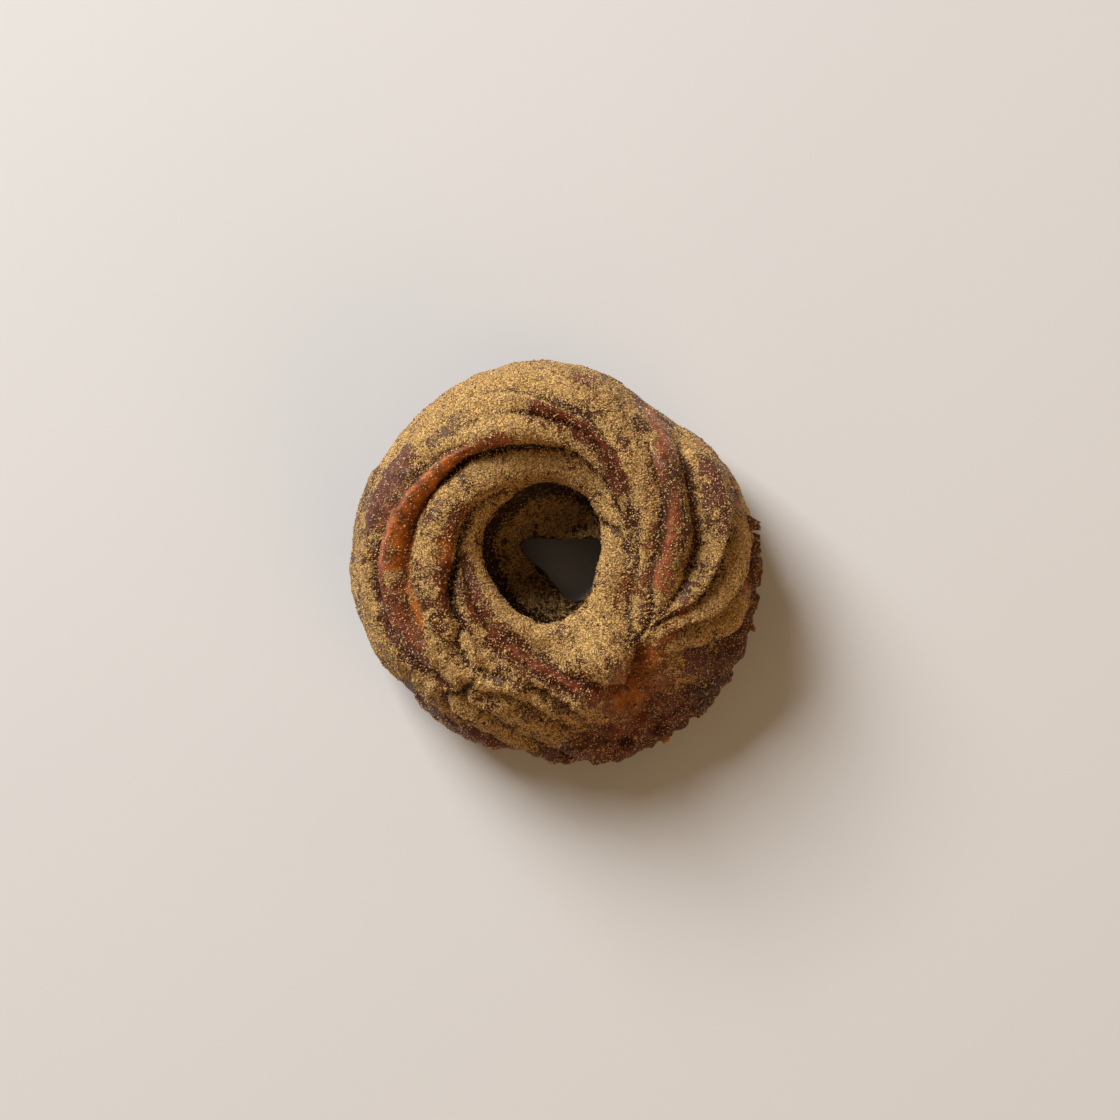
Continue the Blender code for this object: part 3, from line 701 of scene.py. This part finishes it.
# (tone, size, how bare, angle, distance)
PATCHES = [
    ("red", 9.0, 0.74, -58, 37.0), ("honey", 7.0, 0.86, -52, 34.0), ("amber", 3.6, 0.94, -46, 32.6),
    ("honey", 3.8, 0.84, -60, 37.0), ("plum", 4.2, 0.88, -35, 40.3), ("red", 4.4, 0.84, -70, 41.5),
    ("plum", 4.2, 0.80, -78, 43.5), ("plum", 3.4, 0.80, -52, 42.0), ("dark", 5.0, 0.97, -41, 45.1),
    ("plum", 2.4, 0.65, -27, 42.0), ("amber", 2.2, 0.70, -25, 17.9), ("amber", 1.6, 0.65, -25, 33.0),
    ("amber", 2.0, 0.70, -33, 33.0), ("dark", 1.5, 0.70, -45, 25.6), ("dark", 2.0, 0.75, -53, 32.0),
    ("amber", 2.4, 0.60, 177, 20.6), ("red", 4.2, 0.55, 79, 37.3), ("dark", 2.4, 0.80, 47, 38.4),
    ("brown", 3.2, 0.50, 54, 33.5), ("brown", 3.0, 0.50, 20, 17.5),
]
EVEN_COVER, THICK_COVER = 0.69, 0.90
THICK_FROM, THICK_TO, THICK_EDGE = 84.0, 132.0, 50
THICK_DISTANCE = 15
FOLD_BARE, TORN_BARE = 0.75, 0.78
HOLE_BARE, UNDER_RIM_BARE = 0.36, 0.8
UNDER_RIM_FROM, UNDER_RIM_TO = 0.2, 1.95
PATCHY_SIZE, PATCHY_DEPTH = 4.0, 0.36
FLECKED_SIZE, FLECKED_DEPTH = 1.6, 0.34
STROKE_RAGGED, STROKE_PATCH = 0.7, 2.2
# (width, [(angle, distance), ...]) of the strips where powder lies thickest
DUSTED = [
    (1.9, [(-26, 34.6), (-20, 37.2), (-10, 40.4), (0, 42.4), (8, 43.8)]),
    (1.5, [(-28, 40.4), (-20, 42.8), (-12, 44.6)]),
    (1.7, [(38, 11.2), (20, 12.0), (0, 12.8), (-15, 13.6), (-30, 15.0)]),
    (1.6, [(196, 13.2), (215, 13.4), (235, 14.2), (255, 15.6), (275, 17.2)]),
]


def stroke_weight(points, width, knots):
    """1 on a stroke's line, less towards its two ends, and falling raggedly to 0 past its width."""
    _, line, _ = surface_line([(*knot, 0.0) for knot in knots])
    gap, at = nearest_on(line, points)
    gap += STROKE_RAGGED * width * fractal(points, STROKE_PATCH, 3)
    ends = np.minimum(at, len(line) - 1 - at) / LINE_STEPS
    return np.exp(-((np.maximum(gap, 0) / width) ** 3)) * smooth_step(ends / 0.8 + 0.25)


def paint(points):
    """How bare each point is, 0 to 1, and the crust's colour there, painted shade and glow included.
    """
    bare = np.zeros(len(points))
    colour = np.tile(np.array(TONES["brown"]), (len(points), 1))
    marks = [
        (tone, bared, stroke_weight(points, width, knots)) for tone, width, bared, knots in STROKES
    ]
    for tone, size, bared, patch_angle, distance in PATCHES:
        gap = ((points - spot_on_top(patch_angle, distance)) ** 2).sum(1)
        marks.append((tone, bared, np.exp(-gap / size**2)))
    for tone, bared, weight in marks:
        bare = np.maximum(bare, bared * weight)
        colour += (np.array(TONES[tone]) - colour) * weight[:, None]
    return bare, colour


bare, crust_colour_and_shade = paint(plain)
in_hole = smooth_step((place - LIP) / 1.2) * (place < STATIONS - 1)
steep = smooth_step((0.45 - facing[:, 2]) / 0.8)
bare = np.maximum(bare, steep)
# Baring the fold bottoms, the hole's walls and the band under its rim is partly real and partly
# painted shade.
bare = np.maximum(bare, FOLD_BARE * fold_bottom)
bare = np.maximum(bare, TORN_BARE * torn(plain, angle))
ledge = in_hole * smooth_step((facing[:, 2] - 0.55) / 0.4)
# Painted shadow: a dark bare band just under the hole's rim, where the lip's shadow falls.
shadow_under_rim = smooth_step((place - LIP - UNDER_RIM_FROM) / 0.4)
shadow_under_rim = shadow_under_rim * smooth_step((LIP + UNDER_RIM_TO - place) / 0.6)
bare = np.maximum(bare, HOLE_BARE * (in_hole - ledge))
bare = np.maximum(bare, UNDER_RIM_BARE * shadow_under_rim)
# Painted shade: the crust is pulled towards the dark tone at fold bottoms, in the hole and under its
# rim, less on the ledge.
deep = np.clip(0.8 * fold_bottom + 0.8 * in_hole - 0.5 * ledge + shadow_under_rim, 0, 1)[:, None]
crust_colour_and_shade += (np.array(TONES["dark"]) - crust_colour_and_shade) * deep
thick = within(angle, THICK_FROM, THICK_TO, THICK_EDGE)
thick = thick * smooth_step((distance_out(plain) - THICK_DISTANCE) / 4)
cover = EVEN_COVER + (THICK_COVER - EVEN_COVER) * thick
cover += PATCHY_DEPTH * (1 - 0.7 * thick) * fractal(plain, PATCHY_SIZE, 3)
cover += FLECKED_DEPTH * (1 - 0.6 * thick) * fractal(plain, FLECKED_SIZE, 2)
for width, knots in DUSTED:
    heaped = stroke_weight(plain, width, knots)
    cover += (1.0 - cover) * heaped
    bare *= 1 - 0.9 * heaped
powder_cover = np.clip(cover * (1 - bare), 0, 1)
print("powder covers", round(100 * float(powder_cover.mean())), "% of the points")

# %% [markdown]
# ## The finish of the crust
#
# Powder doesn't fade out: it breaks up into flecks, then grains, with bare crust between. Noise
# gives each spot a level, and the spot is dusted where that level is over a threshold which falls as
# the share of powder rises. Coarse and fine noise together make ragged clumps about a millimetre
# across. The crust's material holds this as one group of nodes.

# %% Node helpers


def stored(tree, name, output):
    """What the mesh stores on its points under a name, as a colour or a number."""
    made = tree.nodes.new("ShaderNodeAttribute")
    made.attribute_name = name
    return made.outputs[output]


def feed(tree, value, socket):
    """Links a socket to another, or sets it to a number or colour."""
    if hasattr(value, "links"):
        tree.links.new(value, socket)
    else:
        socket.default_value = value


def math_node(tree, operation, a, b):
    """A Math node on sockets or numbers, and its output."""
    made = tree.nodes.new("ShaderNodeMath")
    made.operation = operation
    feed(tree, a, made.inputs[0])
    feed(tree, b, made.inputs[1])
    return made.outputs[0]


def times(tree, a, b):
    return math_node(tree, "MULTIPLY", a, b)


def plus(tree, a, b):
    return math_node(tree, "ADD", a, b)


def minus(tree, a, b):
    return math_node(tree, "SUBTRACT", a, b)


def mix_colour(tree, factor, a, b):
    """A colour Mix node on sockets or colours, and its output."""
    made = tree.nodes.new("ShaderNodeMix")
    made.data_type = "RGBA"
    made.clamp_factor = True
    for number, value in ((0, factor), (6, a), (7, b)):
        feed(tree, value, made.inputs[number])
    return made.outputs[2]


def ramp(tree, value, low, high):
    """0 below low, 1 above high, and smooth between."""
    made = tree.nodes.new("ShaderNodeMapRange")
    made.interpolation_type = "SMOOTHSTEP"
    tree.links.new(value, made.inputs["Value"])
    made.inputs["From Min"].default_value = low
    made.inputs["From Max"].default_value = high
    return made.outputs["Result"]


def noise_value(tree, where, scale, detail, roughness):
    """Noise of a scale in cells to the metre, and its output."""
    made = tree.nodes.new("ShaderNodeTexNoise")
    tree.links.new(where, made.inputs["Vector"])
    made.inputs["Scale"].default_value = scale
    made.inputs["Detail"].default_value = detail
    made.inputs["Roughness"].default_value = roughness
    return made.outputs["Fac"]


# %% The powder group
CLUMP_CELLS, CLUMP_SHARE = 1100.0, 0.6
GRAIN_CELLS, GRAIN_SHARE = 2900.0, 0.4
BARE_LEVEL, LEVEL_RANGE = 0.675, 0.35
DUST_FROM, DUST_TO = -0.012, 0.018
CLUMP_RISE, DOME_RISE = 1.2, 0.5
GAP_FROM, GAP_TO, GAP_DARK = 0.35, 0.70, 0.75
LEAST_TONE = 0.33


def powder_group():
    """Share of powder in; out where it lies, grain brightness with painted shade in gaps, and its
    height.
    """
    tree = bpy.data.node_groups.new("powder", "ShaderNodeTree")
    tree.interface.new_socket("Cover", in_out="INPUT", socket_type="NodeSocketFloat")
    for name in ("Dust", "Grain Tone and Shade", "Height"):
        tree.interface.new_socket(name, in_out="OUTPUT", socket_type="NodeSocketFloat")
    start = tree.nodes.new("NodeGroupInput")
    end = tree.nodes.new("NodeGroupOutput")
    where = tree.nodes.new("ShaderNodeTexCoord").outputs["Object"]

    clumps = noise_value(tree, where, CLUMP_CELLS, 5.0, 0.75)
    fine = noise_value(tree, where, GRAIN_CELLS, 2.0, 0.6)
    coarse_part = times(tree, clumps, CLUMP_SHARE)
    level = plus(tree, coarse_part, times(tree, fine, GRAIN_SHARE))
    drop = times(tree, start.outputs["Cover"], LEVEL_RANGE)
    over = plus(tree, minus(tree, level, BARE_LEVEL), drop)
    dust = ramp(tree, over, DUST_FROM, DUST_TO)

    cells = tree.nodes.new("ShaderNodeTexVoronoi")
    cells.inputs["Scale"].default_value = GRAIN_CELLS
    tree.links.new(where, cells.inputs["Vector"])
    draw = tree.nodes.new("ShaderNodeSeparateColor")
    tree.links.new(cells.outputs["Color"], draw.inputs["Color"])
    # Painted shade: the gaps between grains are darkened, as if each grain shaded the next.
    gap = ramp(tree, cells.outputs["Distance"], GAP_FROM, GAP_TO)
    lit = minus(tree, 1.0, times(tree, gap, GAP_DARK))
    own = times(tree, draw.outputs["Green"], 1 - LEAST_TONE)
    shade = times(tree, plus(tree, own, LEAST_TONE), lit)
    dome = minus(tree, 1.0, cells.outputs["Distance"])
    piled = times(tree, clumps, CLUMP_RISE)
    thick = plus(tree, times(tree, dome, DOME_RISE), piled)
    tree.links.new(dust, end.inputs["Dust"])
    tree.links.new(shade, end.inputs["Grain Tone and Shade"])
    tree.links.new(times(tree, dust, thick), end.inputs["Height"])
    return tree


powder = powder_group()
print("powder group has", len(powder.nodes), "nodes")

# %% The crust material
POWDER_DULL = (0.150, 0.066, 0.015, 1.0)
POWDER_BRIGHT = (0.95, 0.60, 0.215, 1.0)
CHARRED = (0.030, 0.010, 0.005, 1.0)
SUGARY = (0.62, 0.32, 0.12, 1.0)
CRUST_CELLS, CHARRED_FROM, CHARRED_TO, CHARRED_SHARE = 300.0, 0.42, 0.66, 0.75
PORE_CELLS, SUGARY_FROM, SUGARY_TO, SUGARY_SHARE = 1100.0, 0.55, 0.68, 0.40
GLAZE_ROUGHNESS, DUST_ROUGHNESS = 0.42, 0.45
GLAZE, GLAZE_COAT_ROUGHNESS, GLAZE_SPECULAR = 0.10, 0.30, 0.12
GRAIN_HEIGHT, PORE_RISE, BUMP_STRENGTH = 0.0004, 1.2, 0.8


def crust_material():
    """Glazed crust in the tone and painted shade on each point, under powder that breaks up as it
    thins.
    """
    material, tree, shader = new_material("crust")
    where = tree.nodes.new("ShaderNodeTexCoord").outputs["Object"]
    tone = stored(tree, "crust_tone_and_shade", "Color")
    cover = stored(tree, "powder_cover", "Fac")

    mottle = noise_value(tree, where, CRUST_CELLS, 5.0, 0.7)
    pores = noise_value(tree, where, PORE_CELLS, 4.0, 0.7)
    burnt = ramp(tree, mottle, CHARRED_FROM, CHARRED_TO)
    baked = mix_colour(tree, times(tree, burnt, CHARRED_SHARE), tone, CHARRED)
    sugary = times(tree, ramp(tree, pores, SUGARY_FROM, SUGARY_TO), SUGARY_SHARE)
    baked = mix_colour(tree, sugary, baked, SUGARY)

    grains = tree.nodes.new("ShaderNodeGroup")
    grains.node_tree = powder
    tree.links.new(cover, grains.inputs["Cover"])
    dust = grains.outputs["Dust"]
    golden = mix_colour(tree, grains.outputs["Grain Tone and Shade"], POWDER_DULL, POWDER_BRIGHT)
    tree.links.new(mix_colour(tree, dust, baked, golden), shader.inputs["Base Color"])

    dull = times(tree, dust, DUST_ROUGHNESS)
    tree.links.new(plus(tree, dull, GLAZE_ROUGHNESS), shader.inputs["Roughness"])
    glaze = times(tree, minus(tree, 1.0, dust), GLAZE)
    tree.links.new(glaze, shader.inputs["Coat Weight"])
    shader.inputs["Coat Roughness"].default_value = GLAZE_COAT_ROUGHNESS
    shader.inputs["Specular IOR Level"].default_value = GLAZE_SPECULAR

    bump = tree.nodes.new("ShaderNodeBump")
    bump.inputs["Strength"].default_value = BUMP_STRENGTH
    bump.inputs["Distance"].default_value = GRAIN_HEIGHT
    pitted = times(tree, pores, PORE_RISE)
    relief = plus(tree, grains.outputs["Height"], pitted)
    tree.links.new(relief, bump.inputs["Height"])
    tree.links.new(bump.outputs["Normal"], shader.inputs["Normal"])
    return material


crust = crust_material()

# %% [markdown]
# ## Putting the skin in the solid's place
#
# The points so far are in the outline's own millimetres. They are shifted so that the middle of
# their box is the middle of the solid's, and made metres. What was painted is stored on the mesh.

# %% The finished skin
points = coordinates(form)
middle = (points.min(0) + points.max(0)) / 2
middle[2] = 0.0
solid_middle = np.array([(a + b) / 2 for a, b in zip(solid_low, solid_high)])
solid_middle[2] = solid_low[2]
set_coordinates(form, (points - middle) * MM + solid_middle)
shift = solid_middle - middle * MM
dough = object_from(form, "dough", crust)
dough.data.shade_smooth()

tone_and_shade_layer = dough.data.color_attributes.new("crust_tone_and_shade", "FLOAT_COLOR", "POINT")
tone_and_shade_layer.data.foreach_set("color", np.c_[crust_colour_and_shade, np.ones(len(crust_colour_and_shade))].ravel())
cover_layer = dough.data.attributes.new("powder_cover", "FLOAT", "POINT")
cover_layer.data.foreach_set("value", powder_cover)

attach(dough, "root")
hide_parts(NODE)
size = [round(side / MM, 1) for side in dough.dimensions]
print("skin", size, "mm,", len(dough.data.polygons), "faces")

# %% [markdown]
# ## Loose grains
#
# The material's grains are flat paint with a little bump. Nearly forty thousand real ones on top
# catch the light and throw tiny shadows, and they show at the edge. Each is an octahedron, the least
# that looks like a crystal. Faces of the skin are drawn by lot. Fine grains fall more often where
# powder lies thick, and coarse sugar where it was rubbed away.

# %% Scattering
SEED = 7
LEAST_STRETCH, MOST_STRETCH = 0.65, 1.25
LIFT = 0.25


def octahedra(centres, sizes, rng):
    """Points and faces of one small uneven octahedron at each centre."""
    corners = np.array([(1, 0, 0), (-1, 0, 0), (0, 1, 0), (0, -1, 0), (0, 0, 1), (0, 0, -1)], float)
    faces = np.array(
        [(0, 2, 4), (2, 1, 4), (1, 3, 4), (3, 0, 4), (2, 0, 5), (1, 2, 5), (3, 1, 5), (0, 3, 5)]
    )
    count = len(centres)
    spins = np.linalg.qr(rng.normal(size=(count, 3, 3)))[0]
    spins[np.linalg.det(spins) < 0, :, 0] *= -1
    stretch = rng.uniform(LEAST_STRETCH, MOST_STRETCH, (count, len(corners), 1))
    shaped = np.einsum("nij,nkj->nki", spins, corners[None] * stretch)
    points = centres[:, None] + shaped * sizes[:, None, None] / 2
    faces = faces[None] + len(corners) * np.arange(count)[:, None, None]
    return points.reshape(-1, 3), faces.reshape(-1, 3)


def mesh_of(name, points, faces, material):
    """An object from arrays of points and triangles."""
    mesh = bpy.data.meshes.new(name)
    mesh.from_pydata(points.tolist(), [], faces.tolist())
    return object_of(mesh, name, material)


def scatter_spots(mesh, weights, count, rng):
    """Places drawn on a mesh's triangles, by area times each point's weight, with their normals."""
    mesh.calc_loop_triangles()
    flat = np.empty(len(mesh.loop_triangles) * 3, np.int32)
    mesh.loop_triangles.foreach_get("vertices", flat)
    corners = flat.reshape(-1, 3)
    where = np.empty(len(mesh.vertices) * 3)
    mesh.vertices.foreach_get("co", where)
    triangles = where.reshape(-1, 3)[corners]
    cross = np.cross(triangles[:, 1] - triangles[:, 0], triangles[:, 2] - triangles[:, 0])
    area = np.linalg.norm(cross, axis=1)
    chance = area * weights[corners].mean(1)
    drawn = rng.choice(len(corners), count, p=chance / chance.sum())
    u, v = rng.random((2, count, 1))
    over = u + v > 1
    u, v = np.where(over, 1 - u, u), np.where(over, 1 - v, v)
    picked = triangles[drawn]
    spots = picked[:, 0] * (1 - u - v) + picked[:, 1] * u + picked[:, 2] * v
    return spots, cross[drawn] / area[drawn, None]


def grain_material(name, dull, bright, roughness):
    """Each grain has a brightness of its own, stored on its points."""
    material, tree, shader = new_material(name)
    shade = stored(tree, "shade", "Fac")
    tree.links.new(mix_colour(tree, shade, dull, bright), shader.inputs["Base Color"])
    shader.inputs["Roughness"].default_value = roughness
    return material


def scatter(name, count, weights, smallest, largest, material, rng):
    """Loose grains in one object, lying on the dough."""
    spots, out = scatter_spots(dough.data, weights, count, rng)
    sizes = rng.uniform(smallest, largest, count) * MM
    points, faces = octahedra(spots + out * sizes[:, None] * LIFT, sizes, rng)
    made = mesh_of(name, points, faces, material)
    shade = made.data.attributes.new("shade", "FLOAT", "POINT")
    shade.data.foreach_set("value", np.repeat(rng.random(count), len(points) // count))
    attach(made, "root")
    print(name, count, "grains,", len(made.data.polygons), "faces")


# %% Sugar and cinnamon
STRAY, ON_WALLS = 0.06, 0.15

rng = np.random.default_rng(SEED)
faces_up = np.clip(facing[:, 2], 0, 1)
settled = (powder_cover + STRAY) * (ON_WALLS + faces_up) * (place < STATIONS - 2)
SUGAR = grain_material("sugar", (0.33, 0.185, 0.06, 1.0), (0.84, 0.56, 0.25, 1.0), 0.4)
CINNAMON = grain_material("cinnamon", (0.05, 0.02, 0.01, 1.0), (0.17, 0.07, 0.03, 1.0), 0.6)
scatter("sugar_grains", 24500, settled, 0.17, 0.38, SUGAR, rng)
scatter("cinnamon_grains", 9000, settled, 0.16, 0.34, CINNAMON, rng)

# %% Coarse sugar
rubbed = (1.1 - powder_cover) * (0.1 + faces_up) * (place < LIP + 0.5)
COARSE = grain_material("coarse sugar", (0.42, 0.23, 0.08, 1.0), (0.92, 0.66, 0.34, 1.0), 0.35)
scatter("coarse_sugar", 5000, rubbed, 0.20, 0.38, COARSE, rng)

# %% [markdown]
# ## Crumbs
#
# Where the piping ended and where the crust tore, crumbs of it are left lying in the hollows. Each
# is a small ball of few faces, pushed out of round by noise and partly sunk into what carries it.
# They are made of the same crust, so they carry the same two painted attributes.

# %% Crumbs
CRUMBS = 240
CRUMB_LEAST, CRUMB_MOST, CRUMB_POWER = 0.35, 0.95, 1.5
CRUMB_TONES = ("brown", "honey", "honey", "dark")
CRUMB_LIFT, CRUMB_ROUGH = 0.3, 0.5
CRUMB_BARE, CRUMB_DUSTED = 0.5, 0.9


def crust_layers(form):
    """The two layers that the crust's material reads."""
    return (
        form.verts.layers.float_color.new("crust_tone_and_shade"),
        form.verts.layers.float.new("powder_cover"),
    )


def coat(form, first, layers, tone, cover):
    """Paints every point from the first on with one tone and one share of powder."""
    form.verts.ensure_lookup_table()
    for vert in form.verts[first:]:
        vert[layers[0]] = (*TONES[tone], 1.0)
        vert[layers[1]] = cover


def crumb(form, spot, out, radius):
    """Adds one crumb, out of round, and returns the number of its first point."""
    first = len(form.verts)
    centre = spot + out * radius * CRUMB_LIFT
    matrix = Matrix.Translation(centre)
    bmesh.ops.create_icosphere(form, subdivisions=2, radius=radius, matrix=matrix)
    form.verts.ensure_lookup_table()
    for vert in form.verts[first:]:
        bulge = noise.noise(vert.co / (1.1 * radius))
        vert.co = centre + (vert.co - centre) * (1 + CRUMB_ROUGH * bulge)
    return first


hollows = nearness(plain, -50, 33.0, 4.0) + 0.7 * nearness(plain, -32, 24.0, 4.0)
hollows += 0.5 * nearness(plain, -120, 33.0, 9.0)
hollows += 0.25 * torn(plain, angle) + 0.6 * nearness(plain, -78, 38.0, 7.0) + 0.01
spots, out = scatter_spots(dough.data, hollows * faces_up * (place < LIP), CRUMBS, rng)
form = bmesh.new()
layers = crust_layers(form)
for spot, normal in zip(spots, out):
    radius = rng.uniform(CRUMB_LEAST, CRUMB_MOST) ** CRUMB_POWER * MM / 2
    first = crumb(form, Vector(spot), Vector(normal), radius)
    tone = CRUMB_TONES[rng.integers(len(CRUMB_TONES))]
    coat(form, first, layers, tone, rng.uniform(CRUMB_BARE, CRUMB_DUSTED))
crumbs = object_from(form, "crumbs", crust)
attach(crumbs, "root")
print("crumbs", CRUMBS, "with", len(crumbs.data.polygons), "faces")

# %% [markdown]
# ## Flakes of torn crust
#
# Round the right and the lower right the crust tore where it had stuck, and small tongues of it
# stand out from the edge. Each is a grid that narrows to its tip, bent by a curve, roughened by noise
# and then made a thin sheet with the solidify operator. Its root is inside the dough.

# %% Flakes
FLAKE_THICKNESS = 0.35
FLAKE_ROOT = 2.4
FLAKE_DROOP, FLAKE_ARCH = 0.7, 0.4
FLAKE_ROUGH, FLAKE_ROUGH_SIZE = 0.4, 1.4
FLAKE_COVER = 0.42
# (angle, how far it stands out, width, lean of its tip, height, tip's share of the width, tone)
FLAKES = [
    (8.5, 1.3, 3.8, -1.2, 17.6, 0.45, "brown"), (2.0, 0.5, 6.0, 0.2, 16.4, 0.65, "brown"),
    (-6.0, 0.5, 6.6, 0.2, 15.0, 0.70, "plum"), (-13.0, 0.5, 5.0, -0.2, 13.8, 0.60, "brown"),
    (-19.0, 1.4, 3.2, -1.1, 12.6, 0.20, "plum"), (-33.0, 0.8, 3.4, -0.4, 11.8, 0.45, "dark"),
    (-46.0, 0.7, 4.0, 0.3, 10.5, 0.55, "plum"), (-57.0, 1.2, 2.6, -0.2, 9.5, 0.60, "honey"),
    (-66.0, 0.7, 3.6, -0.4, 9.0, 0.45, "brown"), (-76.0, 0.7, 4.2, 0.2, 8.5, 0.55, "plum"),
]


def flake(form, angle, stands, width, lean, height, tip, tone):
    """One tongue of crust, from its root in the dough to its tip."""
    first = len(form.verts)
    out = Vector((math.cos(math.radians(angle)), math.sin(math.radians(angle)), 0))
    side = Vector((-out.y, out.x, 0))
    rim = float(around(np.array([angle]), RIM_RADIUS)[0])
    root = Vector((*HOLE_CENTRE, height)) + out * (rim - FLAKE_ROOT)
    grid = bmesh.ops.create_grid(form, x_segments=8, y_segments=6, size=0.5)
    for vert in grid["verts"]:
        along, across = vert.co.x + 0.5, vert.co.y * 2
        narrowed = 1 + (tip - 1) * along**1.3
        ragged = 0.12 * noise.noise(Vector((angle, 4 * across, 3 * along)))
        reach = (FLAKE_ROOT + stands) * (along + ragged * along)
        spot = root + out * reach + side * (across * width / 2 * narrowed + lean * along**2)
        rough = FLAKE_ROUGH * noise.noise(spot / FLAKE_ROUGH_SIZE)
        spot.z += rough - FLAKE_DROOP * along**2 + FLAKE_ARCH * (1 - across**2)
        vert.co = spot
    faces = list({face for vert in grid["verts"] for face in vert.link_faces})
    bmesh.ops.solidify(form, geom=faces, thickness=FLAKE_THICKNESS)
    coat(form, first, layers, tone, FLAKE_COVER)


form = bmesh.new()
layers = crust_layers(form)
for one in FLAKES:
    flake(form, *one)
bmesh.ops.recalc_face_normals(form, faces=form.faces)
for vert in form.verts:
    vert.co = vert.co * MM + Vector(shift)
flakes = object_from(form, "flakes", crust)
flakes.data.shade_smooth()
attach(flakes, "root")
print("flakes", len(FLAKES), "with", len(flakes.data.polygons), "faces")
